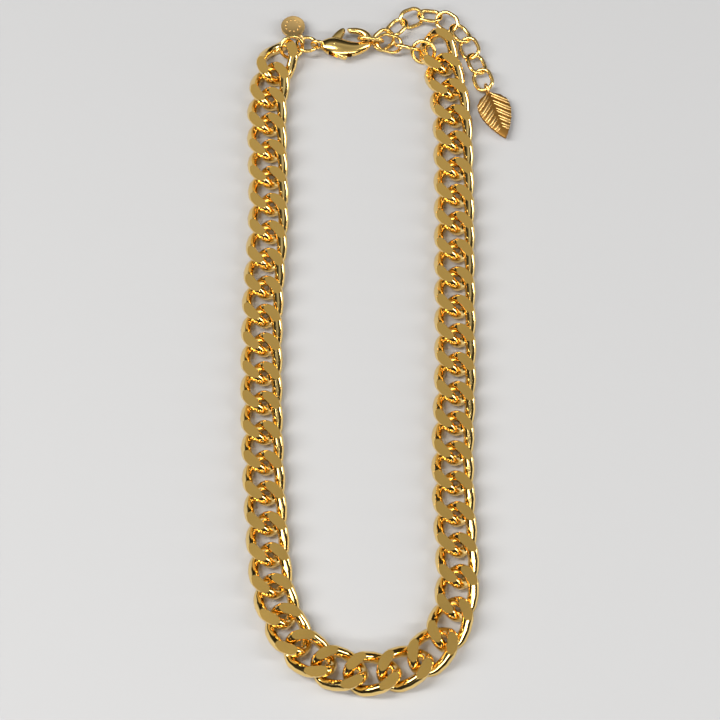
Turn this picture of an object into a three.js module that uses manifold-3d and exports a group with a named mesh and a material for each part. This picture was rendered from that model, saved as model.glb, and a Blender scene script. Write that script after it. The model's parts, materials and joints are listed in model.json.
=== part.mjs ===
// Curb chain necklace with a lobster clasp, an extender and a leaf charm.
// Millimetres, +Z up. The closed necklace lies flat on z = 0: the clasp is at +Y and the
// middle of the front of the chain at -Y. The origin is the centre of the box round the
// whole necklace, on the surface it lies on.

import * as THREE from 'three';
import { mergeVertices } from 'three/addons/utils/BufferGeometryUtils.js';
import Module from 'manifold-3d';

const wasm = await Module();
wasm.setup();

// ---- Driving dimensions, mm and degrees -----------------------------------------------

const curb = {
  count: 47,           // links in the curb chain
  pitch: 8.3,          // one link to the next along the chain
  width: 11,           // across the chain
  wire: 2.75,          // diameter of the round wire a link is bent from
  play: 0.75,          // how far neighbouring links can slide along the chain
  thickness: 4.7,      // between the two faces ground flat on every link
  endTwist: 52,        // a link's wire is twisted by this much at either end
};

const connector = { length: 7.3, width: 7.3, wire: 1.15, roll: -52 };
const jumpRing = { length: 6.6, width: 6.6, wire: 1.0, roll: 16 };
const endRing = { length: 7.3, width: 7.3, wire: 1.05, roll: -54 };
const cable = { length: 7.8, width: 5.8, wire: 1.05 };   // one small extender link
const cableRoll = { c: 58, b: -14 };
const hookedLink = { length: 7.8, width: 6, wire: 1.05, roll: 60, lift: 0.4 };   // the clasp holds it

const clasp = {
  length: 17,          // eye to the outside of the hook
  width: 8.6,          // across the body and the hook, without the thumb piece
  thickness: 3.6,      // through the body
  hookThickness: 2.0,  // the hook is thinner than the body
  hookFrom: 11.6,      // where along the clasp the body thins into the hook
  eyeDiameter: 4.2,    // outside of the ring at its tail
  eyeHole: 2.5,
  eyeThickness: 1.3,
  slot: 1.8,           // the slot the lever swings in
  pin: 1.0,            // diameter of the rivet
  pinHead: 0.15,       // how far the rivet stands proud of each side
};

const spring = { diameter: 1.1, wire: 0.28, turns: 3, length: 1.3 };
const tail = {
  count: 9,            // small links in the free end of the extender
  length: 7.3,         // one of them
  roll: 23,            // leaning to one side and the other in turn
  bite: 0.25,          // how far they run into each other, which makes them one body
  start: [-1.25, -0.65, -0.95],   // from the middle of the clasped link's far end
};
const tag = { diameter: 6.7, thickness: 0.9, loopDiameter: 3.2, loopWire: 0.75, heading: 122 };
const leaf = { length: 15.2, width: 9.4, thickness: 1.1, ribWidth: 0.8, ribHeight: 0.35 };
const leafLoop = { diameter: 3.4, wire: 0.8 };

const gap = 0.3;         // clearance between pieces that touch
const fineGap = 0.1;     // clearance of the rivet in its hole
const wireSides = 6;
const linkSteps = 14;
const ringSteps = 14;

// The middle line of the curb chain as it lies, from the link nearest the clasp on the
// left, round the front, to the last link. Only its shape counts; it is scaled to length.
const neckLine = [
  [-21.5, 95.2], [-24.9, 86], [-25.7, 76], [-25.3, 62], [-24.7, 42], [-25.7, 20], [-25.8, 0],
  [-25.2, -22], [-23.6, -46], [-20.9, -66.5], [-13.6, -79.2], [-0.5, -84.4], [12.6, -82.4],
  [21.4, -74.4], [24.4, -62], [24.0, -46], [23.7, -28], [24.8, -4], [25.2, 26],
  [25.5, 56], [25.1, 77], [21.0, 98.2],
];

// The free end of the extender as it lies, from the link that the clasp holds.
const tailLine = [
  [0, 0], [3.9, 3.8], [7.3, 8], [12.3, 10.4], [17.9, 9.9], [22.8, 6.6],
  [26.2, 1.4], [28.3, -4], [30, -9.2], [31.8, -14.6],
];
const leafHeading = -73;

// Where the closing rings hook on the first and last curb links: an angle round the link
// from its right-hand side, so 90 is the middle of its far end.
const hookedAt = { first: 244, last: 187 };

// ---- Helpers --------------------------------------------------------------------------

const radians = THREE.MathUtils.degToRad;

const gold = { color: 0xd8a94a, metalness: 1, roughness: 0.16 };
const satinGold = { color: 0xc9a25c, metalness: 1, roughness: 0.42 };
const steel = { color: 0xb9b7b0, metalness: 1, roughness: 0.3 };

function toSolid(geometry) {
  const bare = new THREE.BufferGeometry();
  bare.setAttribute('position', geometry.attributes.position.clone());
  if (geometry.index) bare.setIndex(geometry.index.clone());
  const merged = mergeVertices(bare, 1e-4);
  return new wasm.Manifold(new wasm.Mesh({
    numProp: 3,
    vertProperties: Float32Array.from(merged.attributes.position.array),
    triVerts: Uint32Array.from(merged.index.array),
  }));
}

function toGeometry(solid) {
  const mesh = solid.getMesh();
  const geometry = new THREE.BufferGeometry();
  geometry.setAttribute('position', new THREE.BufferAttribute(mesh.vertProperties, 3));
  geometry.setIndex(new THREE.BufferAttribute(mesh.triVerts, 1));
  geometry.computeVertexNormals();
  return geometry;
}

function box(width, depth, height, x = 0, y = 0, z = 0) {
  return toSolid(new THREE.BoxGeometry(width, depth, height).translate(x, y, z));
}

// A round bar along X, Y or Z with its middle at a point.
function bar(diameter, length, axis, x = 0, y = 0, z = 0, sides = 16) {
  const geometry = new THREE.CylinderGeometry(diameter / 2, diameter / 2, length, sides);
  if (axis === 'x') geometry.rotateZ(Math.PI / 2);
  if (axis === 'z') geometry.rotateX(Math.PI / 2);
  return toSolid(geometry.translate(x, y, z));
}

// A flat outline through the points, pulled up to a thickness and centred on z = 0.
function plate(points, thickness, curved = true) {
  const corners = points.map(([x, y]) => new THREE.Vector2(x, y));
  const shape = new THREE.Shape();
  shape.moveTo(corners[0].x, corners[0].y);
  if (curved) shape.splineThru([...corners.slice(1), corners[0]]);
  else corners.slice(1).forEach(({ x, y }) => shape.lineTo(x, y));
  const options = { depth: thickness, bevelEnabled: false, curveSegments: 2 };
  return toSolid(new THREE.ExtrudeGeometry(shape, options).translate(0, 0, -thickness / 2));
}

// The closed middle line of a link's wire: an oval with nearly straight sides. Its long
// axis is Y, and each end is turned about that axis by the end twist.
class LinkLine extends THREE.Curve {
  constructor(length, width, wire, endTwist = 0) {
    super();
    this.acrossHalf = (width - wire) / 2;
    this.alongHalf = (length - wire) / 2;
    this.endTwist = radians(endTwist);
  }

  getPoint(t, target = new THREE.Vector3()) {
    const angle = 2 * Math.PI * t;
    const straight = this.alongHalf - this.acrossHalf;
    const across = this.acrossHalf * Math.cos(angle);
    const along = this.acrossHalf * Math.sin(angle) + straight * squareWave(Math.sin(angle));
    const twist = this.endTwist * along / this.alongHalf;
    return target.set(across * Math.cos(twist), along, across * Math.sin(twist));
  }
}

function squareWave(value) {
  const steepness = 2;
  return Math.tanh(steepness * value) / Math.tanh(steepness);
}

function ring({ length, width, wire }) {
  return new THREE.TubeGeometry(new LinkLine(length, width, wire), ringSteps, wire / 2, wireSides, true);
}

const curbLength = curb.pitch + curb.play + 2 * curb.wire;
const curbLine = new LinkLine(curbLength, curb.width, curb.wire, curb.endTwist);

function curbLink() {
  const round = new THREE.TubeGeometry(curbLine, linkSteps, curb.wire / 2, wireSides, true);
  const ground = box(2 * curbLength, 2 * curbLength, curb.thickness);
  return toGeometry(toSolid(round).intersect(ground));
}

// ---- The clasp ------------------------------------------------------------------------

// Drawn in its own plane: u runs from the outside of the eye to the outside of the hook,
// v is to the side that the gate opens on, and both are scaled to the clasp's size.
const drawn = { length: 16, width: 8.6 };
const uv = ([u, v]) => [u * clasp.length / drawn.length, v * clasp.width / drawn.width];

const bodyOutline = [
  [3.0, -1.3], [4.5, -2.5], [7.2, -3.5], [10.5, -3.4], [13.5, -2.4], [15.5, -0.7],
  [16, 1.2], [15.2, 3.2], [13.5, 4.5], [11.2, 5.0], [9.5, 4.7], [9.55, 3.8], [12, 3.7],
  [13.8, 3.0], [14.4, 1.9], [13.5, 0.9], [11.3, 0.7], [8.8, 0.9], [6.9, 1.9], [4.6, 1.5],
  [3.0, 0.7],
].map(uv);
const leverOutline = [
  [5.5, -1.6], [5.2, 0.4], [6.5, 2.3], [8.1, 4.1], [8.9, 4.4], [9.1, 3.7], [8.3, 2.6],
  [7.7, 1.0], [7.9, -0.8], [8.8, -2.6], [9.9, -3.7], [9.5, -4.4], [8.2, -4.2], [6.6, -3.0],
].map(uv);
const slotOutline = [
  [4.7, 3.6], [4.7, -0.8], [3.6, -0.8], [3.6, -2.3], [4.9, -2.6], [5.2, -6], [12, -6],
  [9.9, -0.2], [11.4, 2.6], [9.3, 5.2],
].map(uv);
const pivotAt = uv([6.6, -0.6]);
const springAt = uv([4.5, -1.55]);
const hookInside = uv([14.0, 1.9]);
const eyeMiddle = [clasp.eyeDiameter / 2, -0.3];
const eyeInside = [(clasp.eyeDiameter - clasp.eyeHole) / 2, eyeMiddle[1]];

function claspBody() {
  const eye = bar(clasp.eyeDiameter, clasp.eyeThickness, 'y', ...eyeMiddle, 0);
  const hole = bar(clasp.eyeHole, clasp.width, 'y', ...eyeMiddle, 0);
  const slot = plate(slotOutline, clasp.slot, false);
  const rivetHole = bar(clasp.pin + 2 * fineGap, 2 * clasp.thickness, 'z', ...pivotAt, 0);
  const hook = plate(bodyOutline, clasp.hookThickness);
  const thick = box(clasp.hookFrom, 4 * clasp.width, 2 * clasp.thickness, clasp.hookFrom / 2, 0, 0);
  const body = plate(bodyOutline, clasp.thickness).intersect(thick).add(hook);
  return body.subtract(slot).subtract(rivetHole).add(eye).subtract(hole);
}

function claspLever() {
  const rivetHole = bar(clasp.pin + gap, 2 * clasp.thickness, 'z', ...pivotAt, 0);
  return plate(leverOutline, clasp.slot - 2 * gap).subtract(rivetHole);
}

function claspPin() {
  return bar(clasp.pin, clasp.thickness + 2 * clasp.pinHead, 'z', ...pivotAt, 0);
}

// The return spring: a small coil on its side, pressed by the lower edge of the lever.
class CoilLine extends THREE.Curve {
  getPoint(t, target = new THREE.Vector3()) {
    const angle = 2 * Math.PI * spring.turns * t;
    const radius = (spring.diameter - spring.wire) / 2;
    const along = (t - 0.5) * (spring.length - spring.wire);
    return target.set(along, radius * Math.cos(angle), radius * Math.sin(angle));
  }
}

function claspSpring() {
  const section = new THREE.Shape();
  section.absarc(0, 0, spring.wire / 2, 0, 2 * Math.PI);
  const stepsPerTurn = 8;
  const steps = stepsPerTurn * spring.turns;
  const options = { extrudePath: new CoilLine(), steps, curveSegments: 5, bevelEnabled: false };
  const coil = new THREE.ExtrudeGeometry(section, options);
  return toSolid(coil.translate(...springAt, 0));
}

// ---- Charms ---------------------------------------------------------------------------

// Both charms hang along +Y from a small loop that stands across them at the origin.
function standingLoop(diameter, wire) {
  const loop = ring({ length: diameter, width: diameter, wire });
  return toSolid(loop.rotateY(Math.PI / 2));
}

function makerTag() {
  const away = tag.loopDiameter / 2 + tag.diameter / 2 - tag.loopWire / 2;
  const disc = bar(tag.diameter, tag.thickness, 'z', 0, away, 0, 28);
  return disc.add(standingLoop(tag.loopDiameter, tag.loopWire));
}

function leafCharm() {
  const start = leafLoop.diameter / 2 - leafLoop.wire / 2;
  const half = leaf.width / 2;
  const outline = [
    [0, 0], [0.55 * half, 0.1 * leaf.length], [0.95 * half, 0.3 * leaf.length],
    [0.92 * half, 0.52 * leaf.length], [0.5 * half, 0.8 * leaf.length],
  ];
  const mirrored = outline.slice(1).reverse().map(([x, y]) => [-x, y]);
  const points = [...outline, [0, leaf.length], ...mirrored].map(([x, y]) => [x, y + start]);
  const ribDepth = leaf.thickness + 2 * leaf.ribHeight;
  const rib = box(leaf.ribWidth, 0.8 * leaf.length, ribDepth, 0, start + 0.45 * leaf.length, 0);
  return plate(points, leaf.thickness).add(rib).add(standingLoop(leafLoop.diameter, leafLoop.wire));
}

// ---- Layout ---------------------------------------------------------------------------

const midHeight = curb.thickness / 2;
const up = new THREE.Vector3(0, 0, 1);

// A smooth line from a start, through points given from there, scaled to the given length.
function lineOfLength(points, length, start) {
  const corners = points.map(([x, y]) => new THREE.Vector3(x, y, 0));
  const natural = new THREE.CatmullRomCurve3(corners, false, 'centripetal').getLength();
  const scaled = corners.map((corner) => corner.multiplyScalar(length / natural).add(start));
  return new THREE.CatmullRomCurve3(scaled, false, 'centripetal');
}

// Places where neighbouring pieces meet, at equal steps along a line.
function meetingPlaces(line, count) {
  return Array.from({ length: count + 1 }, (_, i) => line.getPointAt(i / count));
}

const model = new THREE.Group();

// How each closing piece leans on its neighbours: moved by so much, and turned about X, Y
// and Z by so much from where the bow puts it.
const leans = {
  extender_link_d: { shift: [-0.1, 0.2, 0], turn: [-2.5, 7.5, 7] },
  extender_link_c: { shift: [-0.3, 0, 0.15], turn: [1.5, -2.5, -1.5] },
  extender_link_b: { shift: [-0.15, 0, 0.15], turn: [-1, 4.5, -1] },
  extender_link_a: { shift: [-0.4, 0, 0.1], turn: [-9.5, -1.5, -1] },
  clasp: { shift: [0.1, -0.3, 0.35], turn: [0, 0, 2] },
  jump_ring: { shift: [0.1, 0, 0.05], turn: [2, -2, 2.5] },
  connector_link: { shift: [-0.1, 0, 0.15], turn: [0.5, 1, 0.5] },
};

function leaning(seat, { shift, turn } = { shift: [0, 0, 0], turn: [0, 0, 0] }) {
  const middle = new THREE.Vector3().setFromMatrixPosition(seat);
  const turned = new THREE.Matrix4().makeRotationFromEuler(new THREE.Euler(...turn.map(radians), 'ZYX'));
  return turned.multiply(seat).setPosition(middle.add(new THREE.Vector3(...shift)));
}

// Takes a piece whose own long axis is Y to the line between two places, rolled about it.
function lyingOn(from, to, roll) {
  const along = to.clone().sub(from).normalize();
  const across = along.clone().cross(up).normalize();
  const seat = new THREE.Matrix4().makeBasis(across, along, across.clone().cross(along));
  seat.multiply(new THREE.Matrix4().makeRotationY(radians(roll)));
  return seat.setPosition(from.clone().add(to).multiplyScalar(0.5));
}

function place(name, geometry, from, to, finish, roll = 0) {
  const mesh = new THREE.Mesh(geometry, new THREE.MeshStandardMaterial(finish));
  mesh.name = name;
  mesh.applyMatrix4(leaning(lyingOn(from, to, roll), leans[name]));
  mesh.updateMatrix();
  model.add(mesh);
  return mesh;
}

// The curb chain.
const neckStart = new THREE.Vector3(0, 0, midHeight);
const neckJoints = meetingPlaces(lineOfLength(neckLine, curb.count * curb.pitch, neckStart), curb.count);
const linkShape = curbLink();
const curbLinks = [];
for (let i = 0; i < curb.count; i += 1) {
  const name = `curb_link_${String(i + 1).padStart(2, '0')}`;
  curbLinks.push(place(name, linkShape, neckJoints[i], neckJoints[i + 1], gold));
}

// The end rings are lifted off the surface at the end away from the curb chain.
const ringLift = 0.7;

// The place on the inside of a curb link's wire where a closing ring holds it.
function hookPlace(link, angle) {
  const inside = curb.wire + 3.5 * gap;
  const inner = new LinkLine(curbLength - inside, curb.width - inside, curb.wire, curb.endTwist);
  return inner.getPoint(angle / 360).applyMatrix4(link.matrix);
}

// The closing pieces, in order from the last curb link to the first, with the distance
// from the place where each is held to the place where it holds the next.
const claspReach = Math.hypot(hookInside[0] - eyeInside[0], hookInside[1] - eyeInside[1]) - gap;
const reachOf = ({ length, wire }) => length - 2 * wire - 2 * gap;
const cableReach = reachOf(cable);
const reaches = [
  reachOf(endRing), cableReach, cableReach, reachOf(hookedLink),
  claspReach, reachOf(jumpRing), reachOf(connector),
];

// A bow of straight pieces that turns evenly from start to end.
function bow(start, end, lengths) {
  const total = lengths.reduce((sum, length) => sum + length, 0);
  const points = (turn, first) => {
    const path = [start.clone()];
    let done = 0;
    for (const length of lengths) {
      const heading = first + turn * ((done + length / 2) / total - 0.5);
      const step = new THREE.Vector3(Math.cos(heading), Math.sin(heading), 0).multiplyScalar(length);
      path.push(path.at(-1).clone().add(step));
      done += length;
    }
    return path;
  };
  const span = Math.hypot(end.x - start.x, end.y - start.y);
  let [least, most] = [0, 2 * Math.PI];
  for (let i = 0; i < 40; i += 1) {
    const turn = (least + most) / 2;
    if (points(turn, 0).at(-1).distanceTo(start) > span) least = turn;
    else most = turn;
  }
  const reached = points(least, 0).at(-1).sub(start);
  const wanted = end.clone().sub(start);
  const first = Math.atan2(wanted.y, wanted.x) - Math.atan2(reached.y, reached.x);
  const path = points(least, first);
  path.forEach((point) => {
    point.z = midHeight;
  });
  path[0].z = start.z;
  path[1].z += ringLift;
  path.at(-2).z += ringLift;
  path.at(-1).z = end.z;
  return path;
}

const bowJoints = bow(
  hookPlace(curbLinks.at(-1), hookedAt.last),
  hookPlace(curbLinks[0], hookedAt.first),
  reaches,
);

const cableShape = ring(cable);
place('extender_link_d', ring(endRing), bowJoints[0], bowJoints[1], gold, endRing.roll);
place('extender_link_c', cableShape, bowJoints[1], bowJoints[2], gold, cableRoll.c);
place('extender_link_b', cableShape, bowJoints[2], bowJoints[3], gold, cableRoll.b);
const raised = (point, height) => point.clone().setZ(point.z + height);
const hookedEnds = [raised(bowJoints[3], hookedLink.lift), raised(bowJoints[4], hookedLink.lift)];
place('extender_link_a', ring(hookedLink), ...hookedEnds, gold, hookedLink.roll);
const jumpRingMesh = place('jump_ring', ring(jumpRing), bowJoints[5], bowJoints[6], gold, jumpRing.roll);

// The clasp, put so that its hook and its eye hold the rings either side of it.
function placeClasp(from, to) {
  const [hook, eye] = [hookInside, eyeInside].map(([u, v]) => new THREE.Vector2(u, v));
  const drawnHeading = Math.atan2(eye.y - hook.y, eye.x - hook.x);
  const heading = Math.atan2(to.y - from.y, to.x - from.x);
  const seat = new THREE.Group();
  seat.applyMatrix4(leaning(new THREE.Matrix4()
    .makeRotationZ(heading - drawnHeading)
    .setPosition(from.clone().add(to).multiplyScalar(0.5)), leans.clasp));
  const middle = hook.add(eye).multiplyScalar(0.5);
  const pieces = {
    clasp_body: claspBody(),
    clasp_lever: claspLever(),
    clasp_pin: claspPin(),
    clasp_spring: claspSpring(),
  };
  for (const [name, solid] of Object.entries(pieces)) {
    const finish = name === 'clasp_spring' ? steel : gold;
    const mesh = new THREE.Mesh(toGeometry(solid), new THREE.MeshStandardMaterial(finish));
    mesh.name = name;
    mesh.position.set(-middle.x, -middle.y, 0);
    seat.add(mesh);
  }
  model.add(seat);
  return seat;
}

const claspSeat = placeClasp(bowJoints[4], bowJoints[5]);
place('connector_link', ring(connector), bowJoints[6], bowJoints[7], gold, connector.roll);

// The maker's tag lies beside the jump ring, held by its small standing loop.
const tagHeading = radians(tag.heading);
const tagAway = new THREE.Vector3(Math.cos(tagHeading), Math.sin(tagHeading), 0);
const toJumpRing = jumpRingMesh.matrix.clone().invert();
const tagSide = tagAway.clone().transformDirection(toJumpRing).setZ(0).normalize();
const tagHeld = tagSide.multiplyScalar((jumpRing.length - jumpRing.wire) / 2)
  .applyMatrix4(jumpRingMesh.matrix);
place('maker_tag', toGeometry(makerTag()), tagHeld, tagHeld.clone().addScaledVector(tagAway, 1e-3), satinGold);

// The free end of the extender: small links bitten into each other, as one piece.
const tailPitch = tail.length - 2 * cable.wire + tail.bite;
const tailStart = bowJoints[3].clone().add(new THREE.Vector3(...tail.start));
const tailRoute = lineOfLength(tailLine, tail.count * tailPitch, tailStart);
const tailJoints = meetingPlaces(tailRoute, tail.count);
const lying = leafLoop.diameter / 2 + 0.05;
tailJoints.forEach((joint, i) => {
  joint.z = Math.min(lying, tailStart.z + 0.1 * i);
});
const tailRing = ring({ ...cable, length: tail.length });
let tailSolid = null;
for (let i = 0; i < tail.count; i += 1) {
  const roll = i % 2 ? -tail.roll : tail.roll;
  const seat = lyingOn(tailJoints[i], tailJoints[i + 1], roll);
  const link = toSolid(tailRing).transform(seat.elements);
  tailSolid = tailSolid ? tailSolid.add(link) : link;
}
const tailMesh = new THREE.Mesh(toGeometry(tailSolid), new THREE.MeshStandardMaterial(gold));
tailMesh.name = 'extender_tail';
model.add(tailMesh);

// The leaf hangs from the last of them.
const leafTurn = radians(leafHeading);
const leafAway = new THREE.Vector3(Math.cos(leafTurn), Math.sin(leafTurn), 0);
const tailEnd = tailJoints.at(-1).clone().sub(tailJoints.at(-2)).normalize();
const leafHeld = tailJoints.at(-1).clone().addScaledVector(tailEnd, (cable.wire - tail.bite) / 2);
place('leaf_charm', toGeometry(leafCharm()), leafHeld, leafHeld.clone().addScaledVector(leafAway, 1e-3), satinGold);

// Everything is moved so that the box round it stands on z = 0, centred on the origin.
const extent = new THREE.Box3().setFromObject(model, true);
const base = extent.getCenter(new THREE.Vector3()).setZ(extent.min.z);
model.children.forEach((piece) => piece.position.sub(base));
[...neckJoints, ...bowJoints, tagHeld, tailStart, leafHeld].forEach((point) => point.sub(base));
model.updateMatrixWorld(true);

// Where the pieces hold each other, and the clasp's own frame, for whoever joins them.
export const joints = { neck: neckJoints, bow: bowJoints, tag: tagHeld, tail: tailStart, leaf: leafHeld };
export const claspFrame = { seat: claspSeat, pivot: pivotAt };

export default model;
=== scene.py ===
"""The looks of a gold curb chain necklace, laid closed on a pale table.

Every visible piece but the clasp's spring, which is kept from model.glb, is modelled here at real size and
rides on the body it belongs to.
"""

import json
import math

import bpy
import numpy as np
from mathutils import Matrix, Vector


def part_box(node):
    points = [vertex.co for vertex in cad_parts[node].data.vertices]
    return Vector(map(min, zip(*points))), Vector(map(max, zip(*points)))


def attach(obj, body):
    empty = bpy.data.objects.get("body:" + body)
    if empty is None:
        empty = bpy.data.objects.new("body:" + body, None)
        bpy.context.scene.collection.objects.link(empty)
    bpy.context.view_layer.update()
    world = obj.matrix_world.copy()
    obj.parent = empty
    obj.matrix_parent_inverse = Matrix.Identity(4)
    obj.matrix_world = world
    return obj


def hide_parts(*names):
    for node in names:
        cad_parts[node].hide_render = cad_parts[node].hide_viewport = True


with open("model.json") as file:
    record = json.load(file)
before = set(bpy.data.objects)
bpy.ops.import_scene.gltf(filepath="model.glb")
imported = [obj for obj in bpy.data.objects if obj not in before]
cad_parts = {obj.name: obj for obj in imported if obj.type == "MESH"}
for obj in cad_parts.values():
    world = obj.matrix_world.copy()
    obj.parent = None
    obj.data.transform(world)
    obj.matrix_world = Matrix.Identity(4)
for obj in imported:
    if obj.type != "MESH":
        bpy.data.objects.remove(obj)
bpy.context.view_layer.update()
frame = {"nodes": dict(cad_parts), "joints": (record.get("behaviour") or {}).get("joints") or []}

MM = 0.001

# The curb link
LINK_LENGTH, LINK_WIDTH, LINK_WIRE = 14.85, 11.2, 2.9
LINK_TWIST = 52.0
LINK_THICKNESS = 4.7
LINK_TOP = 2.5          # the upper ground face, above the wire's middle plane
LINK_GROUND_FROM = 2.3  # level faces further than this from the middle plane are ground
LINK_EDGE = 0.12
LINK_STEPS, LINK_AROUND = 80, 5
LINK_COUNT = 47

# The clasp, drawn from its eye (0, 0) to its hook along u, with the gate on the v side
CLASP_U, CLASP_V = 17 / 16, 1.0
PIVOT = (6.6, -0.6)
SPRING_AT = (4.5, -1.55)
EYE_DIAMETER, EYE_WIRE = 4.2, 0.95
SLOT_WIDTH = 1.8
LEVER_THICKNESS, LEVER_EDGE = 1.55, 0.35
RIVET_RADIUS, RIVET_LENGTH = 0.5, 3.9

# The free end of the extender, from where the clasped link holds it
TAIL_LINE = [
    (0, 0), (3.9, 3.8), (7.3, 8.0), (12.3, 10.4), (17.9, 9.9), (22.8, 6.6),
    (26.2, 1.4), (28.3, -4.0), (30.0, -9.2), (31.8, -14.6),
]
TAIL_COUNT, TAIL_LENGTH, TAIL_WIDTH, TAIL_WIRE = 9, 7.45, 5.9, 1.1
TAIL_PITCH = 5.45
TAIL_ROLL = 23.0
TAIL_JOINT_LIFT = 0.6   # its joint stands this far above the first link's place
TAIL_RISE, TAIL_TOP = 0.1, 1.75     # each link lies a little higher, up to the leaf's loop

LEAF_HEADING, LEAF_LENGTH, LEAF_WIDTH, LEAF_THICKNESS = -73.0, 15.2, 9.2, 1.1
LEAF_LOOP, LEAF_LOOP_WIRE = 3.4, 0.8
RIB_PAIRS, RIB_LEAN, RIB_WIDTH, RIB_HEIGHT = 5, 47.0, 0.7, 0.5

TAG_HEADING, TAG_DIAMETER, TAG_THICKNESS = 122.0, 6.7, 0.9
TAG_LOOP, TAG_LOOP_WIRE = 3.2, 0.75
DOT_COUNT, DOT_CIRCLE, DOT_SIZE, DOT_HEIGHT = 10, 1.9, 0.5, 0.3


# ---- Working in Blender ---------------------------------------------------------------

def deselect():
    if bpy.context.object and bpy.context.object.mode != "OBJECT":
        bpy.ops.object.mode_set(mode="OBJECT")
    bpy.ops.object.select_all(action="DESELECT")


def only(*objects):
    """These objects are selected and nothing else; the first is active."""
    deselect()
    for piece in objects:
        piece.select_set(True)
    bpy.context.view_layer.objects.active = objects[0]


def newest(name):
    piece = bpy.context.object
    piece.name = name
    return piece


def pick_points(piece, wanted):
    """Edit mode on the piece, with the points selected that wanted(place) is true for."""
    only(piece)
    bpy.context.tool_settings.mesh_select_mode = (True, False, False)
    for edge in piece.data.edges:
        edge.select = False
    for face in piece.data.polygons:
        face.select = False
    for point in piece.data.vertices:
        point.select = bool(wanted(point.co))
    bpy.ops.object.mode_set(mode="EDIT")


def pick_faces(piece, wanted):
    """Edit mode on the piece, with the faces selected that wanted(centre, normal) is true for."""
    only(piece)
    bpy.ops.object.mode_set(mode="EDIT")
    bpy.ops.mesh.select_all(action="DESELECT")
    bpy.ops.object.mode_set(mode="OBJECT")
    bpy.context.tool_settings.mesh_select_mode = (False, False, True)
    for face in piece.data.polygons:
        face.select = bool(wanted(face.center, face.normal))
    bpy.ops.object.mode_set(mode="EDIT")


def done():
    bpy.ops.object.mode_set(mode="OBJECT")


def modify(piece, kind, **settings):
    only(piece)
    modifier = piece.modifiers.new(kind.title(), kind)
    for key, value in settings.items():
        setattr(modifier, key, value)
    bpy.ops.object.modifier_apply(modifier=modifier.name)


def smooth(piece, degrees=35):
    only(piece)
    bpy.ops.object.shade_smooth_by_angle(angle=math.radians(degrees))


def join(name, *parts):
    only(*parts)
    bpy.ops.object.join()
    return newest(name)


def settle(piece, matrix):
    """Moves a piece modelled at the origin to its place and puts that place in its mesh."""
    piece.matrix_world = matrix
    only(piece)
    bpy.ops.object.transform_apply(location=True, rotation=True, scale=True)


def copied(piece, name):
    other = piece.copy()
    other.data = piece.data.copy()
    other.name = name
    bpy.context.scene.collection.objects.link(other)
    return other


def finish_piece(piece, body, slot, materials, *nodes):
    """Gives a piece its materials and its body, and hides the nodes it stands for; slot is not used."""
    if not piece.data.materials:
        for material in materials:
            piece.data.materials.append(material)
    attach(piece, body)
    if nodes:
        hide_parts(*nodes)


# ---- Materials ------------------------------------------------------------------------

def metal(name, colour, roughness, grain=0.0, grain_scale=900.0, mottle=0.03):
    """A metal whose colour and roughness drift a little over the surface."""
    material = bpy.data.materials.new(name)
    material.use_nodes = True
    nodes, links = material.node_tree.nodes, material.node_tree.links
    shader = nodes["Principled BSDF"]
    shader.inputs["Metallic"].default_value = 1.0
    place = nodes.new("ShaderNodeTexCoord")
    drift = nodes.new("ShaderNodeTexNoise")
    drift.inputs["Scale"].default_value = 160.0
    drift.inputs["Detail"].default_value = 3.0
    links.new(place.outputs["Object"], drift.inputs["Vector"])
    tint = nodes.new("ShaderNodeValToRGB")
    tint.color_ramp.elements[0].position = 0.3
    tint.color_ramp.elements[1].position = 0.7
    tint.color_ramp.elements[0].color = [c * (1 - mottle) for c in colour] + [1]
    tint.color_ramp.elements[1].color = [min(1, c * (1 + mottle)) for c in colour] + [1]
    links.new(drift.outputs["Fac"], tint.inputs["Fac"])
    links.new(tint.outputs["Color"], shader.inputs["Base Color"])
    rough = nodes.new("ShaderNodeMapRange")
    rough.inputs["To Min"].default_value = roughness * 0.85
    rough.inputs["To Max"].default_value = roughness * 1.15
    links.new(drift.outputs["Fac"], rough.inputs["Value"])
    links.new(rough.outputs["Result"], shader.inputs["Roughness"])
    if grain:
        fine = nodes.new("ShaderNodeTexNoise")
        fine.inputs["Scale"].default_value = grain_scale
        bump = nodes.new("ShaderNodeBump")
        bump.inputs["Strength"].default_value = grain
        bump.inputs["Distance"].default_value = 0.02 * MM
        links.new(place.outputs["Object"], fine.inputs["Vector"])
        links.new(fine.outputs["Fac"], bump.inputs["Height"])
        links.new(bump.outputs["Normal"], shader.inputs["Normal"])
    return material


polished_gold = metal("polished gold", (0.96, 0.68, 0.25), 0.12)
# The ground faces' rougher, grained finish is real; their darker, deeper gold than the polished wire is
# painted shade.
ground_face_painted_shade_gold = metal("ground face gold with painted shade", (0.92, 0.58, 0.15), 0.2, grain=0.03, mottle=0.015)
fitting_gold = metal("fitting gold", (0.96, 0.65, 0.21), 0.18)
satin_gold = metal("satin gold", (0.88, 0.58, 0.22), 0.34, grain=0.25)
# Dark brown gold for the leaf's recessed body: painted shade in the grooves between its raised ribs.
leaf_painted_shade_gold = metal("leaf groove painted shade", (0.36, 0.18, 0.04), 0.5, grain=0.25)
spring_steel = metal("spring steel", (0.62, 0.61, 0.59), 0.3)


# ---- Wire links -----------------------------------------------------------------------

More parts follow.
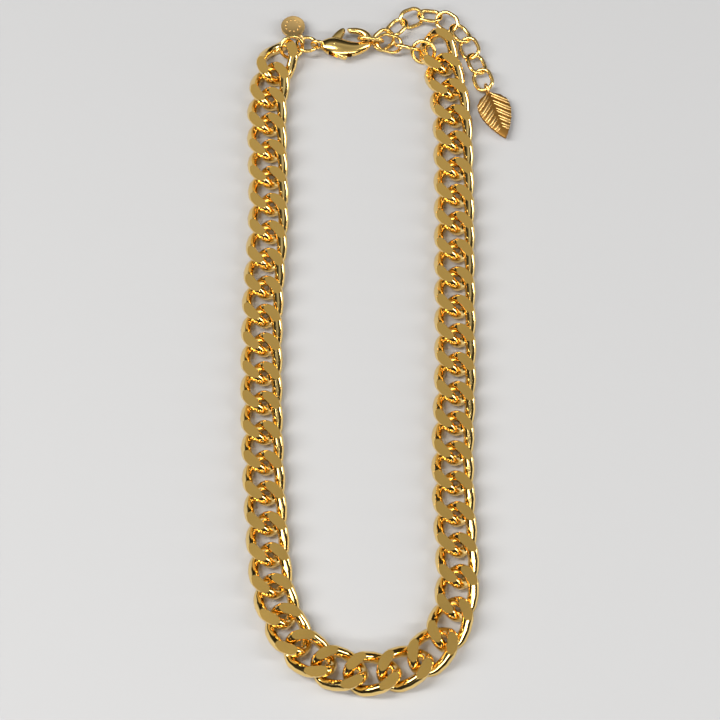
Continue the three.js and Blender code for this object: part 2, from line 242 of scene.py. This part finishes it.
def wire_loop(name, length, width, wire, twist=0.0, steps=48, around=3):
    """A closed loop of round wire in the XY plane with its long way along Y."""
    straight = (length - width) / 2
    deselect()
    bpy.ops.mesh.primitive_circle_add(vertices=steps, radius=(width - wire) / 2 * MM)
    loop = newest(name)
    for side in (1, -1):
        pick_points(loop, lambda place: place.y * side > 1e-6)
        bpy.ops.transform.translate(value=(0, side * straight * MM, 0))
        done()
    if twist:
        modify(loop, "SIMPLE_DEFORM", deform_method="TWIST", deform_axis="Y",
               angle=-2 * math.radians(twist))
    only(loop)
    bpy.ops.object.convert(target="CURVE")
    loop = bpy.context.object
    loop.data.bevel_depth = wire / 2 * MM
    loop.data.bevel_resolution = around
    bpy.ops.object.convert(target="MESH")
    loop = newest(name)
    only(loop)
    bpy.ops.object.mode_set(mode="EDIT")
    bpy.ops.mesh.select_all(action="SELECT")
    bpy.ops.mesh.remove_doubles(threshold=1e-6)
    bpy.ops.mesh.normals_make_consistent(inside=False)
    done()
    return loop


def curb_link():
    """A twisted oval link with its top and bottom ground flat and the new edges eased."""
    link = wire_loop("curb_link", LINK_LENGTH, LINK_WIDTH, LINK_WIRE, LINK_TWIST,
                     LINK_STEPS, LINK_AROUND)
    for side, half in ((1, LINK_TOP * MM), (-1, LINK_THICKNESS / 2 * MM)):
        only(link)
        bpy.ops.object.mode_set(mode="EDIT")
        bpy.ops.mesh.select_all(action="SELECT")
        bpy.ops.mesh.bisect(plane_co=(0, 0, side * half), plane_no=(0, 0, side),
                            use_fill=True, clear_outer=True)
        done()
        pick_faces(link, lambda centre, normal: normal.z * side > 0.99
                   and abs(centre.z * side - half) < 1e-5)
        bpy.ops.mesh.region_to_loop()
        bpy.ops.mesh.bevel(offset=LINK_EDGE * MM, segments=2, affect="EDGES")
        done()
    link.data.materials.append(polished_gold)
    link.data.materials.append(ground_face_painted_shade_gold)
    # Level faces far from the middle plane take the ground-face gold, which carries painted shade on the
    # facets.
    for face in link.data.polygons:
        flat = abs(face.normal.z) > 0.999 and abs(face.center.z) > LINK_GROUND_FROM * MM
        face.material_index = 1 if flat else 0
    smooth(link, 30)
    return link


def heading_matrix(place, heading, roll=0.0, rise=0.0):
    """Puts +Y along a heading given in degrees from +X, rolled about it."""
    turned = Matrix.Rotation(math.radians(heading - 90), 4, "Z")
    lifted = Matrix.Rotation(math.radians(rise), 4, "X")
    rolled = Matrix.Rotation(math.radians(roll), 4, "Y")
    return Matrix.Translation(place) @ turned @ lifted @ rolled


def middle_of(node):
    low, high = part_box(node)
    return (low + high) / 2


def pivots():
    return {joint["child"]: Vector(joint["pos_m"]) for joint in frame["joints"]}


def build_curb_chain():
    link = curb_link()
    held = pivots()
    for number in range(1, LINK_COUNT + 1):
        node = f"curb_link_{number:02d}"
        middle = middle_of(node)
        middle.z = LINK_THICKNESS / 2 * MM
        if node in held:
            along = middle - held[node]
        else:
            along = held[f"curb_link_{number + 1:02d}"] - held[f"curb_link_{number - 1:02d}"]
        piece = copied(link, f"curb_chain_link_{number:02d}")
        settle(piece, heading_matrix(middle, math.degrees(math.atan2(along.y, along.x))))
        finish_piece(piece, node, "chain_gold", (), node)
    bpy.data.objects.remove(link)


def lie_of(node):
    """Where a plain ring lies: its middle, its long way and its flat way, from its points."""
    points = np.array([point.co for point in frame["nodes"][node].data.vertices])
    low, high = points.min(0), points.max(0)
    middle = Vector(((low + high) / 2).tolist())
    _, _, ways = np.linalg.svd(points - points.mean(0), full_matrices=False)
    along, normal = Vector(ways[0].tolist()), Vector(ways[2].tolist())
    across = along.cross(normal)
    turned = Matrix((across, along, normal)).transposed()
    if turned.determinant() < 0:
        turned = Matrix((-across, along, normal)).transposed()
    return Matrix.Translation(middle) @ turned.to_4x4()


def build_rings():
    """The wire rings that close the necklace, each leaning as its neighbours hold it."""
    sizes = {
        "extender_link_d": (7.3, 7.3, 1.05),
        "extender_link_c": (7.8, 5.8, 1.05),
        "extender_link_b": (7.8, 5.8, 0.95),
        "extender_link_a": (7.8, 6.0, 1.05),
        "jump_ring": (6.6, 6.6, 1.0),
        "connector_link": (7.3, 7.3, 1.05),
    }
    for node, (length, width, wire) in sizes.items():
        piece = wire_loop(node + "_wire", length, width, wire)
        settle(piece, lie_of(node))
        smooth(piece, 60)
        finish_piece(piece, node, "fittings_gold", (fitting_gold,), node)


def smooth_line(corners, samples=40):
    """Points of a centripetal spline through the corners, closely spaced."""
    points = [Vector((x, y, 0)) for x, y in corners]
    ends = [2 * points[0] - points[1], *points, 2 * points[-1] - points[-2]]
    line = []
    for a, b, c, d in zip(ends, ends[1:], ends[2:], ends[3:]):
        t0, t1 = 0.0, (b - a).length ** 0.5
        t2 = t1 + (c - b).length ** 0.5
        t3 = t2 + (d - c).length ** 0.5
        for i in range(samples):
            t = t1 + (t2 - t1) * i / samples
            low = a.lerp(b, (t - t0) / (t1 - t0)).lerp(b.lerp(c, (t - t1) / (t2 - t1)), (t - t0) / (t2 - t0))
            high = b.lerp(c, (t - t1) / (t2 - t1)).lerp(c.lerp(d, (t - t2) / (t3 - t2)), (t - t1) / (t3 - t1))
            line.append(low.lerp(high, (t - t1) / (t2 - t1)))
    line.append(points[-1])
    return line


def equal_steps(line, count, length):
    """The line scaled to a length, then points at equal distances along it."""
    spans = [0.0]
    for first, second in zip(line, line[1:]):
        spans.append(spans[-1] + (second - first).length)
    wanted = [spans[-1] * i / count for i in range(count + 1)]
    scale = length / spans[-1]
    axes = [np.interp(wanted, spans, [point[axis] for point in line]) for axis in range(2)]
    return [Vector((x * scale, y * scale, 0)) for x, y in zip(*axes)]


def build_tail():
    """The nine loose links of the extender's free end, leaning to either side in turn."""
    start = pivots()["extender_tail"] / MM - Vector((0, 0, TAIL_JOINT_LIFT))
    places = equal_steps(smooth_line(TAIL_LINE), TAIL_COUNT, TAIL_COUNT * TAIL_PITCH)
    for i, place in enumerate(places):
        place += start
        place.z = min(TAIL_TOP, start.z + TAIL_RISE * i)
    master = wire_loop("tail_link", TAIL_LENGTH, TAIL_WIDTH, TAIL_WIRE)
    for i in range(TAIL_COUNT):
        first, second = places[i], places[i + 1]
        along = second - first
        heading = math.degrees(math.atan2(along.y, along.x))
        rise = math.degrees(math.atan2(along.z, along.xy.length))
        roll = -TAIL_ROLL if i % 2 else TAIL_ROLL
        piece = copied(master, f"tail_link_{i + 1}")
        settle(piece, heading_matrix((first + second) / 2 * MM, heading, roll, rise))
        smooth(piece, 60)
        finish_piece(piece, "extender_tail", "fittings_gold", (fitting_gold,), "extender_tail")
    bpy.data.objects.remove(master)


# ---- Flat pieces ----------------------------------------------------------------------

def flat_piece(name, outline, thickness, edge=0.0, segments=3):
    """A plate with the given outline in mm, centred on z = 0, its edges rounded."""
    deselect()
    bpy.ops.mesh.primitive_circle_add(vertices=len(outline), radius=MM, fill_type="NGON")
    plate = newest(name)
    for point, (x, y) in zip(plate.data.vertices, outline):
        point.co = (x * MM, y * MM, -thickness / 2 * MM)
    only(plate)
    bpy.ops.object.mode_set(mode="EDIT")
    bpy.ops.mesh.select_all(action="SELECT")
    bpy.ops.mesh.extrude_region_move(TRANSFORM_OT_translate={"value": (0, 0, thickness * MM)})
    bpy.ops.mesh.select_all(action="SELECT")
    bpy.ops.mesh.normals_make_consistent(inside=False)
    done()
    if edge:
        modify(plate, "BEVEL", width=edge * MM, segments=segments, limit_method="ANGLE",
               angle_limit=math.radians(60))
    return plate


def rounded_outline(corners, samples=6):
    """A closed smooth outline through the corners."""
    loop = corners[-2:] + corners + corners[:2]
    line = smooth_line(loop, samples)
    return [(point.x, point.y) for point in line[2 * samples:-2 * samples - 1]]


# ---- The clasp ------------------------------------------------------------------------

def clasp_uv(u, v):
    return u * CLASP_U, v * CLASP_V


def clasp_matrix():
    """The clasp's own frame, from the middles of its rivet and its spring."""
    rivet, coil = middle_of("clasp_pin"), middle_of("clasp_spring")
    drawn = Vector(clasp_uv(*PIVOT)) - Vector(clasp_uv(*SPRING_AT))
    lying = (rivet - coil).xy
    turn = math.atan2(lying.y, lying.x) - math.atan2(drawn.y, drawn.x)
    turned = Matrix.Rotation(turn, 4, "Z")
    pivot = Vector((*clasp_uv(*PIVOT), 0)) * MM
    return Matrix.Translation(rivet - turned.to_3x3() @ pivot) @ turned


def clasp_body():
    """The body drawn out from the eye, round the hook, to its tip."""
    sections = [  # u, v, heading, half width, half thickness
        (2.6, -0.3, 0, 0.9, 0.6), (3.2, -0.35, -6, 1.5, 1.1), (4.6, -0.5, -8, 2.5, 1.75),
        (6.2, -0.75, -6, 3.1, 1.95), (8.0, -1.15, -4, 2.95, 1.95), (9.8, -1.4, 0, 2.55, 1.85),
        (11.6, -1.35, 12, 2.2, 1.6), (13.3, -0.9, 28, 1.8, 1.35), (14.8, 0.1, 52, 1.45, 1.2),
        (15.45, 1.4, 82, 1.15, 1.1), (15.2, 2.75, 112, 1.1, 1.05), (14.3, 3.75, 140, 1.1, 1.0),
        (13.1, 4.4, 162, 1.0, 0.98), (11.8, 4.65, 174, 0.95, 0.92), (10.5, 4.65, 182, 0.82, 0.87),
        (9.45, 4.55, 188, 0.66, 0.72),
    ]
    deselect()
    bpy.ops.mesh.primitive_circle_add(vertices=20, radius=MM, fill_type="NGON",
                                      rotation=(0, math.radians(90), 0))
    body = newest("clasp_body")
    only(body)
    bpy.ops.object.transform_apply(location=True, rotation=True, scale=True)
    bpy.ops.object.mode_set(mode="EDIT")
    bpy.ops.mesh.select_all(action="SELECT")
    before = None
    for u, v, heading, wide, thick in sections:
        x, y = clasp_uv(u, v)
        if before is None:
            bpy.ops.transform.resize(value=(1, wide, thick))
            bpy.ops.transform.rotate(value=math.radians(-heading), orient_axis="Z",
                                     center_override=(0, 0, 0))
            bpy.ops.transform.translate(value=(x * MM, y * MM, 0))
        else:
            bpy.ops.mesh.extrude_region_move()
            ox, oy, turned, was_wide, was_thick = before
            bpy.ops.transform.rotate(value=math.radians(turned), orient_axis="Z",
                                     center_override=(ox * MM, oy * MM, 0))
            bpy.ops.transform.resize(value=(1, wide / was_wide, thick / was_thick),
                                     center_override=(ox * MM, oy * MM, 0))
            bpy.ops.transform.rotate(value=math.radians(-heading), orient_axis="Z",
                                     center_override=(ox * MM, oy * MM, 0))
            bpy.ops.transform.translate(value=((x - ox) * MM, (y - oy) * MM, 0))
        before = (x, y, heading, wide, thick)
    bpy.ops.mesh.select_all(action="SELECT")
    bpy.ops.mesh.normals_make_consistent(inside=False)
    done()
    modify(body, "BEVEL", width=0.3 * MM, segments=2, limit_method="ANGLE",
           angle_limit=math.radians(60))
    modify(body, "SUBSURF", levels=1, render_levels=1)
    eye = wire_loop("clasp_eye", EYE_DIAMETER, EYE_DIAMETER, EYE_WIRE, steps=40)
    stood = Matrix.Rotation(math.radians(90), 4, "X")
    settle(eye, Matrix.Translation((EYE_DIAMETER / 2 * MM, -0.3 * MM, 0)) @ stood)
    modify(body, "BOOLEAN", operation="UNION", object=eye, solver="EXACT")
    bpy.data.objects.remove(eye)
    slot = flat_piece("slot", [clasp_uv(*c) for c in (
        (4.7, 3.6), (4.7, -0.8), (3.6, -0.8), (3.6, -2.3), (4.9, -2.6), (5.2, -6),
        (12, -6), (9.9, -0.2), (11.4, 2.6), (9.3, 5.2))], SLOT_WIDTH)
    modify(body, "BOOLEAN", operation="DIFFERENCE", object=slot, solver="EXACT")
    bpy.data.objects.remove(slot)
    return body


def clasp_lever():
    outline = rounded_outline([clasp_uv(*c) for c in (
        (5.3, -1.6), (4.9, 0.6), (5.9, 2.6), (7.2, 4.3), (8.3, 5.1), (8.95, 4.8), (8.95, 3.9),
        (8.4, 2.4), (7.9, 0.8), (7.9, -0.8), (8.8, -2.6), (9.9, -3.9), (9.5, -4.6), (8.2, -4.4),
        (6.6, -3.0))], 4)
    return flat_piece("clasp_lever", outline, LEVER_THICKNESS, LEVER_EDGE)


def clasp_rivet():
    deselect()
    x, y = clasp_uv(*PIVOT)
    bpy.ops.mesh.primitive_cylinder_add(vertices=28, radius=RIVET_RADIUS * MM,
                                        depth=RIVET_LENGTH * MM,
                                        location=(x * MM, y * MM, 0))
    rivet = newest("clasp_rivet")
    only(rivet)
    bpy.ops.object.transform_apply(location=True, rotation=True, scale=True)
    modify(rivet, "BEVEL", width=0.12 * MM, segments=2, limit_method="ANGLE")
    return rivet


def build_clasp():
    seat = clasp_matrix()
    made = (
        (clasp_body(), "clasp", "clasp_body"),
        (clasp_lever(), "clasp_lever", "clasp_lever"),
        (clasp_rivet(), "clasp", "clasp_pin"),
    )
    for piece, body, node in made:
        settle(piece, seat)
        smooth(piece, 40)
        finish_piece(piece, body, "fittings_gold", (fitting_gold,), node)
    coil = frame["nodes"]["clasp_spring"]
    coil.data.materials.clear()
    coil.data.materials.append(spring_steel)


# ---- Charms ---------------------------------------------------------------------------

def standing_loop(name, diameter, wire):
    """A round loop that stands on edge over a charm's joint."""
    loop = wire_loop(name, diameter, diameter, wire, steps=36)
    settle(loop, Matrix.Rotation(math.radians(90), 4, "Y"))
    return loop


def bar_on(name, start, end, width, height, top):
    """A rounded bar lying along a face from start to end, in mm."""
    (x0, y0), (x1, y1) = start, end
    length = math.hypot(x1 - x0, y1 - y0)
    deselect()
    bpy.ops.mesh.primitive_uv_sphere_add(segments=12, ring_count=8, radius=0.5 * MM)
    bar = newest(name)
    bar.scale = (width, length, height)
    bar.rotation_euler.z = math.atan2(y1 - y0, x1 - x0) - math.pi / 2
    bar.location = ((x0 + x1) / 2 * MM, (y0 + y1) / 2 * MM, top * MM)
    only(bar)
    bpy.ops.object.transform_apply(location=True, rotation=True, scale=True)
    return bar


def leaf_half_width(t):
    """Half the leaf's width at a share t of its length from its stalk."""
    shares = (0.0, 0.04, 0.1, 0.2, 0.32, 0.45, 0.6, 0.75, 0.88, 0.96, 1.0)
    widths = (0.0, 0.36, 0.66, 0.92, 1.0, 0.95, 0.8, 0.57, 0.31, 0.12, 0.0)
    return LEAF_WIDTH / 2 * float(np.interp(t, shares, widths))


def rib_end(foot):
    """Where a rib that leaves the midrib at a share of the length reaches the leaf's edge."""
    lean = math.tan(math.radians(RIB_LEAN))
    for step in range(1, 200):
        t = foot + step / 200 * (1 - foot)
        if (t - foot) * LEAF_LENGTH * lean >= leaf_half_width(t):
            return leaf_half_width(t), t
    return 0.0, 1.0


def leaf_charm():
    """A pointed leaf, both faces with pairs of raised ribs on either side of a groove; the leaf's body under
    the ribs is dark brown, painted shade.
    """
    start = LEAF_LOOP / 2 - LEAF_LOOP_WIRE / 2
    steps = 30
    outline = [(0, start)]
    for i in range(1, steps):
        t = i / steps
        notch = 0.16 * abs(math.sin(math.pi * 2 * RIB_PAIRS * (t - 0.06)))
        outline.append((leaf_half_width(t) - 0.15 + notch, start + t * LEAF_LENGTH))
    outline.append((0, start + LEAF_LENGTH))
    outline += [(-x, y) for x, y in outline[-2:0:-1]]
    plate = flat_piece("leaf_plate", outline, LEAF_THICKNESS - 0.1, 0.22, 2)
    # The plate under the ribs takes the dark brown painted shade.
    plate.data.materials.append(leaf_painted_shade_gold)
    parts = []
    for face in (1, -1):
        top = face * (LEAF_THICKNESS / 2 - 0.08)
        for pair in range(RIB_PAIRS):
            for half in (-0.032, 0.032):
                foot = 0.03 + 0.165 * pair + half
                wide, reach = rib_end(foot)
                near = (0.22, start + foot * LEAF_LENGTH + 0.2)
                far = (wide * 1.01, start + reach * LEAF_LENGTH)
                for side in (1, -1):
                    parts.append(bar_on("rib", (near[0] * side, near[1]), (far[0] * side, far[1]),
                                        RIB_WIDTH, RIB_HEIGHT, top))
    parts.append(standing_loop("leaf_loop", LEAF_LOOP, LEAF_LOOP_WIRE))
    for part in parts:
        part.data.materials.append(satin_gold)
    return join("leaf_charm", plate, *parts)


def maker_tag():
    """A small disc with a raised rim and a ring of dots, on its own standing loop."""
    away = TAG_LOOP / 2 + TAG_DIAMETER / 2 - TAG_LOOP_WIRE / 2
    deselect()
    bpy.ops.mesh.primitive_cylinder_add(vertices=48, radius=TAG_DIAMETER / 2 * MM,
                                        depth=TAG_THICKNESS * MM, location=(0, away * MM, 0))
    disc = newest("tag_disc")
    only(disc)
    bpy.ops.object.transform_apply(location=True, rotation=True, scale=True)
    for side in (1, -1):
        pick_faces(disc, lambda centre, normal: normal.z * side > 0.9)
        bpy.ops.mesh.inset(thickness=0.4 * MM)
        bpy.ops.transform.translate(value=(0, 0, -side * 0.12 * MM))
        done()
    modify(disc, "BEVEL", width=0.07 * MM, segments=2, limit_method="ANGLE",
           angle_limit=math.radians(40))
    parts = [disc]
    for i in range(DOT_COUNT):
        turn = 2 * math.pi * i / DOT_COUNT
        x, y = DOT_CIRCLE * math.cos(turn), away + DOT_CIRCLE * math.sin(turn)
        parts.append(bar_on("dot", (x, y), (x, y + DOT_SIZE), DOT_SIZE, DOT_HEIGHT,
                            TAG_THICKNESS / 2 - 0.1))
    parts.append(standing_loop("tag_loop", TAG_LOOP, TAG_LOOP_WIRE))
    return join("maker_tag", *parts)


def build_charms():
    held = pivots()
    for piece, node, heading in (
        (leaf_charm(), "leaf_charm", LEAF_HEADING),
        (maker_tag(), "maker_tag", TAG_HEADING),
    ):
        settle(piece, heading_matrix(held[node], heading))
        smooth(piece, 35)
        finish_piece(piece, node, "satin_gold", (satin_gold,), node)


# ---- Room, light and camera -----------------------------------------------------------

def build_room():
    deselect()
    bpy.ops.mesh.primitive_plane_add(size=6, location=(0, 0, -0.05 * MM))
    table = newest("table")
    cloth = bpy.data.materials.new("pale table")
    cloth.use_nodes = True
    shader = cloth.node_tree.nodes["Principled BSDF"]
    shader.inputs["Base Color"].default_value = (0.475, 0.48, 0.49, 1)
    shader.inputs["Roughness"].default_value = 0.6
    table.data.materials.append(cloth)
    world = bpy.data.worlds.new("studio")
    bpy.context.scene.world = world
    world.use_nodes = True
    nodes, links = world.node_tree.nodes, world.node_tree.links
    direction = nodes.new("ShaderNodeTexCoord")
    height = nodes.new("ShaderNodeSeparateXYZ")
    shade = nodes.new("ShaderNodeValToRGB")
    shade.color_ramp.elements[0].position, shade.color_ramp.elements[0].color = 0.0, (0.02, 0.02, 0.02, 1)
    shade.color_ramp.elements[1].position, shade.color_ramp.elements[1].color = 1.0, (0.26, 0.26, 0.26, 1)
    for position, grey in ((0.5, 0.03), (0.72, 0.1), (0.82, 0.55), (0.91, 0.38)):
        stop = shade.color_ramp.elements.new(position)
        stop.color = (grey, grey, grey, 1)
    links.new(direction.outputs["Generated"], height.inputs["Vector"])
    links.new(height.outputs["Z"], shade.inputs["Fac"])
    links.new(shade.outputs["Color"], nodes["Background"].inputs["Color"])


def soft_light(name, place, width, height, power, aimed_at=(0, 0, 0), colour=(1, 0.98, 0.95)):
    deselect()
    bpy.ops.object.light_add(type="AREA", location=place)
    light = newest(name)
    light.data.shape = "RECTANGLE"
    light.data.size, light.data.size_y = width, height
    light.data.energy = power
    light.data.color = colour
    away = Vector(place) - Vector(aimed_at)
    light.rotation_euler = away.to_track_quat("Z", "Y").to_euler()


def build_lights():
    soft_light("window", (-0.85, 0.0, 1.1), 0.3, 1.3, 20)
    soft_light("fill", (0.95, -0.1, 0.55), 0.14, 1.2, 8)
    soft_light("front", (0.0, -0.9, 0.75), 1.2, 0.12, 6)


def build_camera():
    """A long lens looking down on the laid necklace from its front."""
    target = Vector((-5.345, -9.858, 2.5)) * MM
    distance = 553.6 * MM
    elevation = math.radians(66)
    back = Vector((0, -math.cos(elevation), math.sin(elevation)))
    deselect()
    bpy.ops.object.camera_add(location=target + back * distance)
    camera = newest("camera")
    camera.data.sensor_width = 36
    camera.data.lens = 106
    camera.data.clip_start = 0.01
    camera.rotation_euler = back.to_track_quat("Z", "Y").to_euler()
    bpy.context.scene.camera = camera
    bpy.context.scene.view_settings.view_transform = "Standard"


build_room()
build_lights()
build_camera()
build_curb_chain()
build_rings()
build_tail()
build_clasp()
build_charms()
